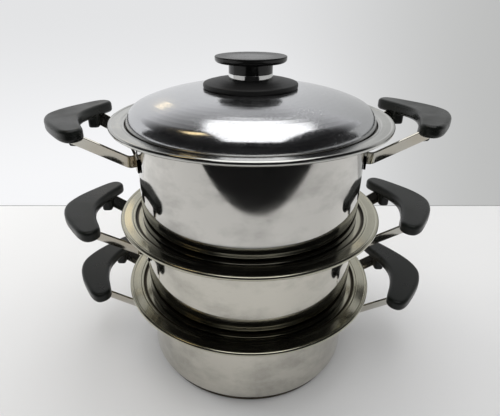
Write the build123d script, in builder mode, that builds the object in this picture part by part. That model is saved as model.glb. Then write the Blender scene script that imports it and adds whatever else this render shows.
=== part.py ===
from build123d import *
from math import atan2, cos, degrees, radians, sin, sqrt, tan
import os

os.makedirs("parts", exist_ok=True)

# A stack of three stainless casseroles of one diameter. Each stands in the mouth of the one
# below it, and the top one carries a domed lid with a black knob. Every pot has two handles:
# a steel strap bent out from the wall, and a black moulded grip screwed to its two ends.
# The origin is the centre of the bottom pot's foot, with +Z up and its handles along X.

# Pots: radii from the common axis, heights from each pot's own foot
wall_radius = 104.0         # outside of the straight wall
sheet = 1.2                 # steel sheet of the pots
foot_corner = 6.0           # outside radius where the wall meets the floor
bottom_pot_height = 86.0
middle_pot_height = 88.2
top_pot_height = 102.2
middle_pot_turn = 4.6       # degrees that the pot is turned on the one below it
top_pot_turn = 0.3

# Rim: a wide flange with a rolled edge, and a recess in which a lid or a pot sits
ledge_width = 6.0           # wall to the lid's skirt in the recess
flange_width = 14.2         # recess to the outside of the rolled rim
bead_radius = 2.0
flange_drop = 0.8           # top of the flange below the top of the bead
step_drop = 0.8             # narrow inner ring of the flange below the rest of it
step_width = 2.8
recess_gap = 0.8            # room around the lid in the recess
recess_depth = 4.0          # ledge of the recess below the top of the bead
ledge_bend = 2.0            # radius where the ledge turns down into the wall
small_bend = 0.9            # radius of the small bends, on the middle of the sheet
nest_gap = 0.3              # room between a standing pot's corner and the ledge bend

# Base: an aluminium core in a steel cap
base_height = 5.0
base_inset = 4.0            # base inside the wall
cap_sheet = 0.8
cap_edge = 1.5              # rounding of the cap's lower edge
core_gap = 0.05             # room between the core and the cap's edge

# Handle strap: a flat strip bent about slanted lines, so that its arms rise and lean
strap_width = 12.4
strap_thick = 2.0
arm_end_drop = 7.3          # middle of the strap's end below the top of the rim
strap_wrap = 11.5           # degrees of wall that the strap follows each side of the middle
weld_gap = 0.1              # room between the strap and the wall at the spot welds
fold_slant = 24.0           # degrees that the fold leans from upright
fold_turn = 107.0           # degrees that the strip turns in the fold
fold_radius = 6.0           # radius of the fold, on the middle of the strip
fold_steps = 8
arm_past_edge = 1.7         # end of the strap past the middle of the grip's inner edge
ear_base = 9.0              # pointed ears that rise from the strap's ends on the wall
ear_height = 8.0
ear_lean = 18.0             # degrees that they lean away from the wall
ear_tip_share = 0.35        # their tip along their base, from the fold

# Handle grip: a bowed plate with two feet, each lying against the inside of a strap arm
grip_overhang = 56.0        # apex of the grip past the rim
grip_width = 30.5           # middle of the plate from its inner edge to the apex
grip_half_length = 58.5
grip_top = 2.6              # top of the plate above the top of the rim
grip_thick = 10.6
grip_top_round = 3.0
grip_under_round = 3.4
foot_drop = 18.0            # underside of the feet below the top of the rim
foot_ahead = 2.0            # outer end of a foot past the end of the strap
foot_length = 10.0
foot_thick = 12.5           # inner face of a foot from the end of the strap
foot_round = 3.0
foot_edge = 1.5             # rounding of its underside
slot_gap = 0.1              # room around the strap in the grip
# Half the plan outline, from the apex round the tip to the middle of the inner edge: x as a
# share of the grip's width, from that inner edge, and y as a share of its half length
outline_shares = [(1.00, 0.00), (0.93, 0.21), (0.77, 0.41), (0.51, 0.63), (0.25, 0.82), (0.05, 0.94),
                  (-0.18, 1.00), (-0.38, 0.957), (-0.49, 0.84), (-0.44, 0.735), (-0.25, 0.51),
                  (-0.08, 0.26), (0.00, 0.00)]

# Grip screws: a pan head on the strap, and a shank through it into the foot
screw_radius = 2.0
screw_head_radius = 2.8
screw_head_height = 1.4
screw_head_round = 0.6
screw_back = 4.7            # screw from the end of the strap
screw_depth = 6.0           # shank in the foot
screw_gap = 0.1

# Lid: one sheet with a short skirt in the recess, a round shoulder and a flat middle
lid_sheet = 1.0
lid_height = 28.0           # ledge to the flat middle
lid_skirt = 0.8             # straight part of its edge in the recess
lid_shoulder = 16.0         # outside radius between the skirt and the crown
lid_seat_margin = 1.0       # flat middle past the knob's base

# Knob: a broad base plate, a steel band, and a grip with a neck and a wide disc
knob_base_radius = 41.5
knob_base_edge = 4.0
knob_base_rise = 3.4        # top of the base plate from its edge to the band
knob_base_round = 1.5
band_radius = 19.3
band_wall = 1.5
band_height = 4.7
band_gap = 0.1              # room between the band and the grip's spigot
neck_inset = 0.2            # neck inside the band's outer face
neck_height = 7.9
disc_radius = 31.0
disc_height = 6.1
disc_slope = 1.0            # rise of the disc's underside from the neck to its side
disc_round = 2.8            # rounding between the underside and the side
disc_edge = 1.0             # outer edge of the disc below its top
disc_dish = 0.7             # middle of the top below its edge

# Knob screw and washer, under the lid
stud_radius = 3.0
stud_depth = 12.0           # shank in the knob's grip
stud_head_radius = 6.5
stud_head_height = 3.0
stud_head_round = 1.0
stud_gap = 0.15
washer_radius = 10.0
washer_thick = 1.2

hole_overrun = 1.0          # how far each cut runs past the material

# A standing pot's foot corner rests on the ledge bend of the pot below it
bends_apart = foot_corner + ledge_bend + nest_gap
bends_across = (wall_radius - sheet + ledge_bend) - (wall_radius - foot_corner)
bends_rise = sqrt(bends_apart**2 - bends_across**2)
nest_depth = recess_depth + ledge_bend + base_height + foot_corner - bends_rise

# Heights of the feet and rims in the stack
middle_pot_foot = bottom_pot_height - nest_depth
top_pot_foot = middle_pot_foot + middle_pot_height - nest_depth
lid_foot = top_pot_foot + top_pot_height - recess_depth
knob_foot = lid_foot + lid_height

base_radius = wall_radius - base_inset
lid_radius = wall_radius + ledge_width
recess_radius = lid_radius + recess_gap
rim_radius = recess_radius + flange_width
grip_reach = rim_radius + grip_overhang
grip_inner_edge = grip_reach - grip_width
strap_radius = wall_radius + weld_gap + strap_thick / 2
spigot_radius = band_radius - band_wall - band_gap
neck_radius = band_radius - neck_inset
knob_bore = stud_radius + stud_gap


def placed(shape, plane):
    """A copy of a piece that is drawn at the origin, set on a plane."""
    with BuildPart(plane) as copy:
        add(shape)
    return copy.part


def save(piece, name):
    """Label a finished piece and write it."""
    piece.label = name
    export_step(piece, f"parts/{name}.step")


def pot_shell(height):
    """Floor, wall, ledge, flange and rolled rim of a pot, with its foot on z = 0."""
    floor = base_height + sheet / 2
    wall = wall_radius - sheet / 2
    ledge = height - recess_depth - sheet / 2
    flange = height - flange_drop - sheet / 2
    recess = recess_radius + sheet / 2
    step_end = recess_radius + step_width
    bead_middle = rim_radius - bead_radius
    sheet_middle = [(0, floor), (wall, floor), (wall, ledge), (recess, ledge), (recess, flange - step_drop),
                    (step_end, flange - step_drop), (step_end + step_drop, flange), (bead_middle, flange)]
    bends = [foot_corner - sheet / 2, ledge_bend - sheet / 2, small_bend, small_bend, small_bend, small_bend]
    with BuildPart() as shell:
        with BuildSketch(Plane.XZ):
            with BuildLine():
                FilletPolyline(*sheet_middle, radius=bends)
            trace(line_width=sheet)
            with Locations((bead_middle, height - bead_radius)):
                Circle(bead_radius)
        revolve(axis=Axis.Z)
    return shell.part


def base_cap():
    """Steel cap of the base: a shallow tray with a rounded lower edge."""
    with BuildPart() as cap:
        with BuildSketch():
            Circle(base_radius)
        extrude(amount=base_height)
        fillet(cap.edges().group_by(Axis.Z)[0], radius=cap_edge)
        with BuildSketch(Plane.XY.offset(cap_sheet)):
            Circle(base_radius - cap_sheet)
        extrude(amount=base_height, mode=Mode.SUBTRACT)
    return cap.part


def base_core():
    """Aluminium core of the base, which fills the cap up to the floor."""
    with BuildPart() as core:
        with BuildSketch(Plane.XY.offset(cap_sheet)):
            Circle(base_radius - cap_sheet - core_gap)
        extrude(amount=base_height - cap_sheet)
        fillet(core.edges().group_by(Axis.Z)[0], radius=cap_edge - cap_sheet)
    return core.part


def flat_on_wall(drop):
    """Middle of the strip where it leaves the wall at +Y: x along it, y up, z out of the wall.

    A handle is drawn along +X from the pot's axis, with z = 0 at the top of the rim.
    """
    along = Vector(0, 1, 0).rotate(Axis.Z, strap_wrap)
    out = Vector(1, 0, 0).rotate(Axis.Z, strap_wrap)
    return Plane(out * strap_radius + Vector(0, 0, -drop), x_dir=along, z_dir=out)


def fold_sections(start):
    """Sections of the fold along its slanted line, and the middle of the arm after it."""
    slant = radians(fold_slant)
    line = start.y_dir * cos(slant) + start.x_dir * sin(slant)
    fold = Axis((0, 0, 0), line)
    place = start.origin + start.x_dir * fold_shift
    sections = [Plane(place, x_dir=line, z_dir=line.cross(start.z_dir))]
    step = fold_turn / fold_steps
    chord = 2 * fold_radius * sin(radians(step) / 2) / cos(slant)
    for count in range(fold_steps):
        place += start.x_dir.rotate(fold, -(count + 1 / 2) * step) * chord
        face = start.z_dir.rotate(fold, -(count + 1) * step)
        sections.append(Plane(place, x_dir=line, z_dir=line.cross(face)))
    return sections, Plane(place, x_dir=start.x_dir.rotate(fold, -fold_turn), z_dir=face)


# The arms run on to the grip's inner edge, and the strap on the wall lies as low as they rise
fold_shift = strap_width / 2 * tan(radians(fold_slant))
arm_from_rim = fold_sections(flat_on_wall(0))[1]
arm_length = (grip_inner_edge + arm_past_edge - arm_from_rim.origin.X) / arm_from_rim.x_dir.X
strap_drop = arm_end_drop + arm_from_rim.origin.Z + arm_length * arm_from_rim.x_dir.Z
wall_flat = flat_on_wall(strap_drop)
folds, arm = fold_sections(wall_flat)
arm_end = arm.origin + arm.x_dir * arm_length


def screw_plane():
    """Outer face of the strap's arm at the grip's screw, facing away from the grip's foot."""
    middle = arm_end - arm.x_dir * screw_back
    return Plane(middle - arm.z_dir * (strap_thick / 2), z_dir=-arm.z_dir)


def ear_plane():
    """Leaning plane of the ear, just inside the strip's upper edge."""
    root = wall_flat.origin + wall_flat.y_dir * (strap_width / 2 - strap_thick / 2)
    lean = Axis((0, 0, 0), wall_flat.x_dir)
    return Plane(root, x_dir=wall_flat.x_dir, z_dir=wall_flat.z_dir.rotate(lean, ear_lean))


def handle_strap():
    """Steel strap: a curved part on the wall, two folds, two arms and two ears."""
    low, high = -strap_width / 2, strap_width / 2
    ear_top = strap_thick / 2 + ear_height
    wall_end = Plane((0, 0, 0), x_dir=Vector(1, 0, 0).rotate(Axis.Z, -strap_wrap),
                     z_dir=Vector(0, -1, 0).rotate(Axis.Z, -strap_wrap))
    with BuildPart() as strap:
        for section in folds:
            with BuildSketch(section):
                Rectangle(strap_width / cos(radians(fold_slant)), strap_thick)
        loft(ruled=True)
        with BuildSketch(wall_flat):
            Polygon((0, low), (2 * fold_shift, high), (0, high), align=None)
        with BuildSketch(arm):
            Polygon((-fold_shift, low), (arm_length, low), (arm_length, high), (fold_shift, high),
                    align=None)
        with BuildSketch(ear_plane()):
            Polygon((2 * fold_shift, 0), (2 * fold_shift - ear_tip_share * ear_base, ear_top),
                    (2 * fold_shift - ear_base, 0), align=None)
        extrude(amount=strap_thick / 2, both=True)
        with BuildSketch(screw_plane()):
            Circle(screw_radius + screw_gap)
        extrude(amount=strap_thick + hole_overrun, both=True, mode=Mode.SUBTRACT)
        mirror(about=Plane.XZ)
        with BuildSketch(wall_end):
            with Locations((strap_radius, -strap_drop)):
                Rectangle(strap_thick, strap_width)
        revolve(axis=Axis.Z, revolution_arc=2 * strap_wrap)
    return strap.part


def grip_slots():
    """Room in the grip for the strap's two arms and the two screws."""
    with BuildPart() as slots:
        with BuildSketch(Plane(arm.origin, x_dir=arm.y_dir, z_dir=arm.x_dir)):
            Rectangle(strap_width + 2 * slot_gap, strap_thick + 2 * slot_gap)
        extrude(amount=arm_length + slot_gap)
        with BuildSketch(screw_plane()):
            Circle(screw_radius + screw_gap)
        extrude(amount=-strap_thick - screw_depth - screw_gap)
        with BuildSketch(screw_plane()):
            Circle(screw_head_radius + screw_gap)
        extrude(amount=screw_head_height + screw_gap)
        mirror(about=Plane.XZ)
    return slots.part


def grip_foot():
    """Foot of the grip on the inside of the +Y arm, cut flush along the strap."""
    plate_middle = grip_top - grip_thick / 2
    with BuildPart() as foot:
        with BuildSketch(Plane.XY.offset(-foot_drop)):
            with Locations((arm_end.X + foot_ahead - foot_length / 2, arm_end.Y)):
                RectangleRounded(foot_length, 2 * foot_thick, foot_round)
        extrude(amount=foot_drop + plate_middle)
        fillet(foot.edges().group_by(Axis.Z)[0], radius=foot_edge)
        split(bisect_by=arm.offset(strap_thick / 2 + slot_gap), keep=Keep.TOP)
    return foot.part


def handle_grip():
    """Black grip: the bowed plate and its two feet, with the strap's slots and the screw holes."""
    outline = [(grip_inner_edge + x * grip_width, y * grip_half_length) for x, y in outline_shares]
    other_half = [(x, -y) for x, y in outline[-2:0:-1]]
    with BuildPart() as grip:
        with BuildSketch(Plane.XY.offset(grip_top - grip_thick)):
            with BuildLine():
                Spline(*outline, *other_half, periodic=True)
            make_face()
        extrude(amount=grip_thick)
        fillet(grip.edges().group_by(Axis.Z)[-1], radius=grip_top_round)
        fillet(grip.edges().group_by(Axis.Z)[0], radius=grip_under_round)
        foot = grip_foot()
        add(foot)
        add(foot.mirror(Plane.XZ))
        add(grip_slots(), mode=Mode.SUBTRACT)
    return grip.part


def grip_screws():
    """The two screws of one grip."""
    outward = Axis(screw_plane().origin, screw_plane().z_dir)
    with BuildPart() as screws:
        with BuildSketch(screw_plane()):
            Circle(screw_head_radius)
        extrude(amount=screw_head_height)
        fillet(screws.edges().sort_by(outward)[-1], radius=screw_head_round)
        with BuildSketch(screw_plane()):
            Circle(screw_radius)
        extrude(amount=-strap_thick - screw_depth)
        mirror(about=Plane.XZ)
    return screws.part


strap_shape = handle_strap()
grip_shape = handle_grip()
screws_shape = grip_screws()

for pot, foot, height, turn in (("bottom_pot", 0, bottom_pot_height, 0),
                                ("middle_pot", middle_pot_foot, middle_pot_height, middle_pot_turn),
                                ("top_pot", top_pot_foot, top_pot_height, middle_pot_turn + top_pot_turn)):
    pot_plane = Plane.XY.offset(foot).rotated((0, 0, turn))
    right_side = pot_plane.offset(height)
    left_side = right_side.rotated((0, 0, 180))
    save(placed(pot_shell(height), pot_plane), f"{pot}_shell")
    save(placed(base_cap(), pot_plane), f"{pot}_base_cap")
    save(placed(base_core(), pot_plane), f"{pot}_base_core")
    for side, side_plane in (("right", right_side), ("left", left_side)):
        save(placed(strap_shape, side_plane), f"{pot}_{side}_strap")
        save(placed(grip_shape, side_plane), f"{pot}_{side}_grip")
    with BuildPart(right_side, left_side) as grip_screw_set:
        add(screws_shape)
    save(grip_screw_set.part, f"{pot}_grip_screws")

# Lid: its outer face is drawn from the skirt to the knob's hole, and the sheet lies inside it.
# The crown is the arc that meets both the shoulder and the edge of the flat middle.
seat_radius = knob_base_radius + lid_seat_margin
shoulder_middle = lid_radius - lid_shoulder
shoulder_level = lid_foot + lid_skirt
shoulder_across = shoulder_middle - seat_radius
dome_rise = knob_foot - shoulder_level
lid_crown = (shoulder_across**2 + dome_rise**2 - lid_shoulder**2) / (2 * (dome_rise - lid_shoulder))
crown_level = knob_foot - lid_crown
shoulder_turn = degrees(atan2(shoulder_level - crown_level, shoulder_across))
with BuildPart() as lid_shell:
    with BuildSketch(Plane.XZ):
        with BuildLine():
            Line((lid_radius, lid_foot), (lid_radius, shoulder_level))
            CenterArc((shoulder_middle, shoulder_level), lid_shoulder, 0, shoulder_turn)
            CenterArc((seat_radius, crown_level), lid_crown, shoulder_turn, 90 - shoulder_turn)
            Line((seat_radius, knob_foot), (knob_bore, knob_foot))
            offset(amount=lid_sheet, side=Side.LEFT)
        make_face()
    revolve(axis=Axis.Z)
save(lid_shell.part, "lid_shell")

# Knob, from the lid up; each face seats flat on the one below
band_foot = knob_foot + knob_base_edge + knob_base_rise
neck_foot = band_foot + band_height
disc_foot = neck_foot + neck_height
disc_top = disc_foot + disc_height

with BuildPart() as knob_base:
    with BuildSketch(Plane.XZ):
        with BuildLine():
            Polyline((band_radius, band_foot), (knob_bore, band_foot), (knob_bore, knob_foot),
                     (knob_base_radius, knob_foot), (knob_base_radius, knob_foot + knob_base_edge))
            TangentArc((band_radius, band_foot), (knob_base_radius, knob_foot + knob_base_edge),
                       tangent=(1, 0))
        make_face()
    revolve(axis=Axis.Z)
    rim_edges = knob_base.edges().filter_by(GeomType.CIRCLE).filter_by(
        lambda edge: edge.radius > knob_base_radius - knob_base_round / 2)
    fillet(rim_edges, radius=knob_base_round)
save(knob_base.part, "knob_base")

with BuildPart() as knob_band:
    with BuildSketch(Plane.XY.offset(band_foot)):
        Circle(band_radius)
        Circle(band_radius - band_wall, mode=Mode.SUBTRACT)
    extrude(amount=band_height)
save(knob_band.part, "knob_band")

with BuildPart() as knob_grip:
    bore_top = band_foot + stud_depth + stud_gap
    edge = (disc_radius, disc_top - disc_edge)
    with BuildSketch(Plane.XZ):
        with BuildLine():
            Polyline((0, disc_top - disc_dish), (0, bore_top), (knob_bore, bore_top),
                     (knob_bore, band_foot), (spigot_radius, band_foot), (spigot_radius, neck_foot),
                     (neck_radius, neck_foot), (neck_radius, disc_foot))
            FilletPolyline((neck_radius, disc_foot), (disc_radius, disc_foot + disc_slope), edge,
                           radius=disc_round)
            TangentArc(edge, (disc_radius - disc_edge, disc_top), tangent=(0, 1))
            TangentArc((0, disc_top - disc_dish), (disc_radius - disc_edge, disc_top), tangent=(1, 0))
        make_face()
    revolve(axis=Axis.Z)
save(knob_grip.part, "knob_grip")

# Knob screw, up through the washer, the lid and the knob's base into its grip
lid_inside = knob_foot - lid_sheet
stud_foot = lid_inside - washer_thick
with BuildPart() as knob_washer:
    with BuildSketch(Plane.XY.offset(stud_foot)):
        Circle(washer_radius)
        Circle(knob_bore, mode=Mode.SUBTRACT)
    extrude(amount=washer_thick)
save(knob_washer.part, "knob_washer")

with BuildPart() as knob_screw:
    with BuildSketch(Plane.XY.offset(stud_foot)):
        Circle(stud_head_radius)
    extrude(amount=-stud_head_height)
    fillet(knob_screw.edges().group_by(Axis.Z)[0], radius=stud_head_round)
    with BuildSketch(Plane.XY.offset(stud_foot)):
        Circle(stud_radius)
    extrude(amount=band_foot + stud_depth - stud_foot)
save(knob_screw.part, "knob_screw")
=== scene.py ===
"""A stack of three steel casseroles with a domed lid, laid out as an add-on and run as a script."""

from math import cos, pi, radians, sin, tan
from types import SimpleNamespace

import bmesh
import bpy
from bpy.props import FloatProperty, FloatVectorProperty, IntProperty, PointerProperty
from mathutils import Matrix, Vector


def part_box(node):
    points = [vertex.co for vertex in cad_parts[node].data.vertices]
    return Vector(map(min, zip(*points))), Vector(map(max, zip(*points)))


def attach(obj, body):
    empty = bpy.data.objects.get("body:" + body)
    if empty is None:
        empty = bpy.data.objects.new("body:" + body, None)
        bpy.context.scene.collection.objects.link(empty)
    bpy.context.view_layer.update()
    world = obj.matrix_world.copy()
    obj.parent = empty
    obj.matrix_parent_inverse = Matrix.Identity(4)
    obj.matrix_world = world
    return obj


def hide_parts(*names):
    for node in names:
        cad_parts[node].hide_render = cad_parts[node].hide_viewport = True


bl_info = {
    "name": "Stacked Casseroles",
    "version": (1, 0, 0),
    "blender": (4, 5, 0),
    "location": "View3D > Sidebar > Casseroles",
    "description": "Three stacked steel casseroles with side handles, a domed lid and a studio stage",
    "category": "Add Mesh",
}

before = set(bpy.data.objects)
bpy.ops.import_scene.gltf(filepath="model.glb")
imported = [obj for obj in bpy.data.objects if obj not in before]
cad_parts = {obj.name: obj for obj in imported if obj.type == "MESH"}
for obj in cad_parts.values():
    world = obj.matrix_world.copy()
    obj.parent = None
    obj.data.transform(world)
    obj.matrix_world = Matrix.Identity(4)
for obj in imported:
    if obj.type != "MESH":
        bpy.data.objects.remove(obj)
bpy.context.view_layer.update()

POTS = ("bottom_pot", "middle_pot", "top_pot")
SIDES = (("right", 0.0), ("left", pi))
UP = Vector((0, 0, 1))
MERGE = 1e-6            # points nearer than this are one point
HOLD = 0.0003           # narrow faces beside a bend, which keep its shading from the flat next to it
FADE = 0.0007           # width over which one finish gives way to the next


def rim_level(pot):
    """Top of a pot's rolled rim, from the frame."""
    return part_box(f"{pot}_shell")[1].z


def base_level(pot):
    """Underside of a pot's base, from the frame."""
    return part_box(f"{pot}_base_cap")[0].z


def least_reach(node):
    """Least of a turned node's four reaches from the axis, from the frame."""
    low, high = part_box(node)
    return min(high.x, high.y, -low.x, -low.y)


def length(name, default, description):
    """A length in metres that the sidebar shows in the scene's unit."""
    return FloatProperty(name=name, default=default, description=description, min=0.0, precision=5,
                         subtype="DISTANCE", unit="LENGTH")


def angle(name, degrees_wide, description):
    """An angle, given here in degrees."""
    return FloatProperty(name=name, default=radians(degrees_wide), description=description,
                         subtype="ANGLE", unit="ROTATION")


def share(name, default, description):
    """A part of one, such as a roughness."""
    return FloatProperty(name=name, default=default, description=description, min=0.0, max=1.0,
                         subtype="FACTOR")


def colour(name, default, description):
    """A surface colour."""
    return FloatVectorProperty(name=name, default=default, description=description, size=3, min=0.0,
                               max=1.0, subtype="COLOR")


def power(name, default, description):
    """The power of a lamp, in watts."""
    return FloatProperty(name=name, default=default, description=description, min=0.0, subtype="POWER",
                         unit="POWER")


class PotSizes(bpy.types.PropertyGroup):
    """Sizes of the pots' sheet, rims and bases."""

    rim_radius: length("Rim Radius", least_reach("bottom_pot_shell"), "Outside of the rolled rim")
    wall_radius: length("Wall Radius", 0.104, "Outside of the straight wall")
    sheet: length("Sheet", 0.0012, "Thickness of the pots' steel")
    foot_corner: length("Foot Corner", 0.006, "Outside radius where the wall meets the floor")
    base_height: length("Base Height", 0.005, "Thickness of the heavy base")
    lid_room: length("Lid Room", 0.0008, "Room around the lid in the recess")
    recess_depth: length("Recess Depth", 0.004, "Ledge of the recess below the top of the rim")
    ledge_bend: length("Ledge Bend", 0.0014, "Bend from wall to ledge, on the middle of the sheet")
    small_bend: length("Small Bends", 0.0009, "Other bends of the rim, on the middle of the sheet")
    flange_drop: length("Flange Drop", 0.0008, "Top of the flange below the top of the rim")
    step_drop: length("Step Drop", 0.0008, "Narrow inner ring below the rest of the flange")
    step_width: length("Step Width", 0.0028, "Width of the narrow inner ring")
    bead_radius: length("Bead Radius", 0.002, "Radius of the rolled edge")
    cap_sheet: length("Cap Sheet", 0.0008, "Thickness of the base's steel cap")
    cap_edge: length("Cap Edge", 0.0015, "Rounding of the cap's lower edge")
    middle_turn: angle("Middle Pot Turn", 4.6, "Turn of the middle pot about the stack's axis")
    top_turn: angle("Top Pot Turn", 4.9, "Turn of the top pot about the stack's axis")
    spin_steps: IntProperty(name="Spin Steps", default=256, min=24, max=512,
                            description="Steps in a full turn of each turned piece")


class HandleSizes(bpy.types.PropertyGroup):
    """Sizes of the steel straps and their black grips."""

    strap_width: length("Strap Width", 0.0124, "Width of the steel strip")
    strap_thick: length("Strap Thickness", 0.002, "Thickness of the steel strip")
    strap_edge: length("Strap Edge", 0.0005, "Rounding of the strip's edges")
    weld_gap: length("Weld Gap", 0.0001, "Room between strap and wall at the welds")
    strap_wrap: angle("Strap Wrap", 11.5, "Wall that the strap follows on each side of its middle")
    fold_slant: angle("Fold Slant", 24.0, "Lean of the fold from upright")
    fold_turn: angle("Fold Turn", 107.0, "Turn of the strip in its fold")
    fold_radius: length("Fold Radius", 0.006, "Radius of the fold on the middle of the strip")
    arm_end_reach: length("Arm End Reach", 0.1522, "End of the strap's arm from the pot's axis")
    arm_end_drop: length("Arm End Drop", 0.0073, "End of the strap's arm below the rim")
    ear_base: length("Ear Base", 0.009, "Foot of the pointed ear on the strap")
    ear_height: length("Ear Height", 0.008, "Height of the pointed ear")
    ear_lean: angle("Ear Lean", 18.0, "Lean of the ear away from the wall")
    ear_tip: share("Ear Tip", 0.35, "Tip of the ear along its foot, from the fold")
    grip_grid: length("Grip Grid", 0.0006, "Grid on which the moulded grip is meshed")


class LidSizes(bpy.types.PropertyGroup):
    """Sizes of the lid's sheet and dome."""

    sheet: length("Lid Sheet", 0.001, "Thickness of the lid's steel")
    skirt: length("Lid Skirt", 0.0008, "Straight part of the lid's edge in the recess")
    shoulder: length("Lid Shoulder", 0.016, "Outside radius between the skirt and the crown")
    seat_margin: length("Seat Margin", 0.001, "Flat middle past the knob's base")
    bore: length("Knob Bore", 0.00315, "Radius of the hole for the knob's screw")


class KnobSizes(bpy.types.PropertyGroup):
    """Sizes of the knob's base plate, steel band and grip."""

    base_edge: length("Base Edge", 0.004, "Height of the base plate's rim")
    base_round: length("Base Round", 0.0015, "Rounding of the base plate's rim")
    band_wall: length("Band Wall", 0.0015, "Thickness of the steel band")
    band_edge: length("Band Edge", 0.0003, "Rounding of the band's edges and of the neck's foot")
    band_gap: length("Band Gap", 0.0001, "Room between the band and the grip in it")
    screw_depth: length("Screw Depth", 0.01215, "Depth of the screw's hole in the grip")
    neck_inset: length("Neck Inset", 0.0002, "Neck inside the band's outer face")
    neck_round: length("Neck Rounding", 0.0008, "Hollow rounding between the neck and the disc")
    disc_height: length("Disc Height", 0.0061, "Height of the disc from its neck")
    disc_slope: length("Disc Slope", 0.001, "Rise of the disc's underside from its neck to its side")
    disc_round: length("Disc Rounding", 0.0028, "Rounding between the disc's underside and its side")
    disc_edge: length("Disc Edge", 0.001, "Rounding of the disc's upper edge")
    disc_dish: length("Disc Dish", 0.0007, "Middle of the disc's top below its edge")
    dish_radius: length("Dish Radius", 0.2, "Hollow curve of the disc's top")


class Finishes(bpy.types.PropertyGroup):
    """Colours and roughness of the steel and the black mouldings."""

    top_steel: colour("Top Pot Steel", (0.57, 0.558, 0.53), "Polished steel of the top pot")
    steel: colour("Lower Pots' Steel", (0.57, 0.55, 0.495), "Steel of the lower pots, warmer with use")
    lid: colour("Lid Steel", (0.62, 0.625, 0.64), "Polished steel of the lid")
    steel_roughness: share("Steel Roughness", 0.07, "Roughness of the polished steel")
    top_flange: colour("Top Flange", (0.56, 0.56, 0.535), "Flange of the top pot")
    flange: colour("Flange", (0.47, 0.455, 0.37), "Flanges of the lower pots, tanned by the hob's heat")
    flange_roughness: share("Flange Roughness", 0.15, "Roughness of the flange")
    # painted shade in the corner of the recess, where the pots nest: its colour and its width
    recess_shade: colour("Tarnish", (0.04, 0.032, 0.02), "Grime in the corner of the recess")
    recess_shade_width: length("Grime Width", 0.003, "Width of the grime in the corner of the recess")
    # painted dark reflection: a dark band round the foot of a pot that stands in another, and the top
    # of that band above the base
    painted_foot_reflection: share("Foot Stain", 0.8, "Stain round the foot of a pot that stands in another")
    foot_reflection_height: length("Stain Height", 0.0208, "Top of that stain above the base")
    # painted shade: the dark base stands for contact shade and dark reflection, along with some
    # browning from the hob
    base: colour("Base", (0.075, 0.065, 0.05), "Side of the base, browned by the hob")
    core: colour("Core", (0.8, 0.8, 0.8), "Aluminium cores of the bases")
    strap: colour("Strap", (0.53, 0.52, 0.475), "Rolled strip of the handles")
    heat: colour("Heat Tint", (0.46, 0.40, 0.31), "Brown that the hob's heat leaves on the strip")
    screw: colour("Screws", (0.66, 0.66, 0.66), "Screws of the grips")
    fastener: colour("Lid Fastener", (0.7, 0.7, 0.7), "Screw and washer under the lid")
    band: colour("Band", (0.80, 0.80, 0.79), "Steel band of the knob")
    plastic: colour("Plastic", (0.008, 0.0093, 0.008), "Moulded grips")
    knob: colour("Knob", (0.006, 0.006, 0.006), "Glossy knob")
    knob_base: colour("Knob Base", (0.012, 0.012, 0.012), "Matt plate under the knob")


class StageSettings(bpy.types.PropertyGroup):
    """Table, backdrop, lamps and camera."""

    table: colour("Table", (0.74, 0.74, 0.74), "Pale table top")
    left_wall: colour("Left Wall", (0.93, 0.935, 0.95), "Pale background on the left, near the table")
    high_wall: colour("High Wall", (0.77, 0.775, 0.785), "Pale background on the left, higher up")
    right_wall: colour("Right Wall", (0.50, 0.505, 0.50), "Pale background on the right")
    dark_card: colour("Dark Cards", (0.005, 0.005, 0.006), "Studio cards that only gloss shows")
    warm_lamp: colour("Warm Lamps", (1.0, 0.78, 0.42), "Two small warm lamps")
    table_back: length("Table Back", 0.322, "Back edge of the table behind the pots' axis")
    table_front: length("Table Front", 0.49, "Dark card before the pots' axis")
    table_line: length("Table Line", 0.0025, "Dark line along the back edge of the table")
    ceiling_height: length("Ceiling Height", 1.78, "Soft lamp above the table")
    world_light: FloatProperty(name="Room Light", default=0.55, min=0.0,
                               description="Even light of the room")
    lamp_power: power("Lamp Power", 15.0, "Power of the main soft lamp")
    side_power: power("Side Lamp Power", 9.5, "Power of the left side lamp")
    warm_power: power("Warm Lamp Power", 5.0, "Power of a warm lamp a metre wide")
    heading: angle("Camera Heading", 2.3, "Turn of the camera about the upright axis")
    pitch: angle("Camera Pitch", 26.68, "How far the camera looks down")
    camera_place: FloatVectorProperty(name="Camera Place", default=(0.0047, -0.36997, 0.34188), size=3,
                                      precision=5, description="Where the camera stands",
                                      subtype="TRANSLATION", unit="LENGTH")
    camera_shift: FloatVectorProperty(name="Camera Shift", default=(0.0221, 0.0014), size=2,
                                      precision=4, description="Shift, as a share of the width")
    focal_length: FloatProperty(name="Focal Length", default=29.5, min=1.0,
                                description="Lens of the camera, in millimetres",
                                subtype="DISTANCE_CAMERA", unit="CAMERA")


GROUPS = {
    "casserole_pots": PotSizes,
    "casserole_handles": HandleSizes,
    "casserole_lid": LidSizes,
    "casserole_knob": KnobSizes,
    "casserole_finishes": Finishes,
    "casserole_stage": StageSettings,
}


# ---------------------------------------------------------------- shapes


def sheet_outline(middle, bends, thickness):
    """Corners and bends of a bent sheet's whole outline, from the corners of its middle line."""
    half = thickness / 2
    middle = [Vector(point) for point in middle]
    runs = [(b - a).normalized() for a, b in zip(middle, middle[1:])]
    right, left = [], []
    for place, corner in enumerate(middle):
        before = runs[max(place - 1, 0)]
        after = runs[min(place, len(runs) - 1)]
        across = (before + after).normalized()
        side = Vector((across.y, -across.x)) * (half / across.dot(after))
        turn = before.x * after.y - before.y * after.x
        bend = bends[place]
        grow = half if turn > 0 else -half
        right.append((corner + side, max(bend + grow, 0) if bend else 0))
        left.append((corner - side, max(bend - grow, 0) if bend else 0))
    return right + left[::-1]


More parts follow.
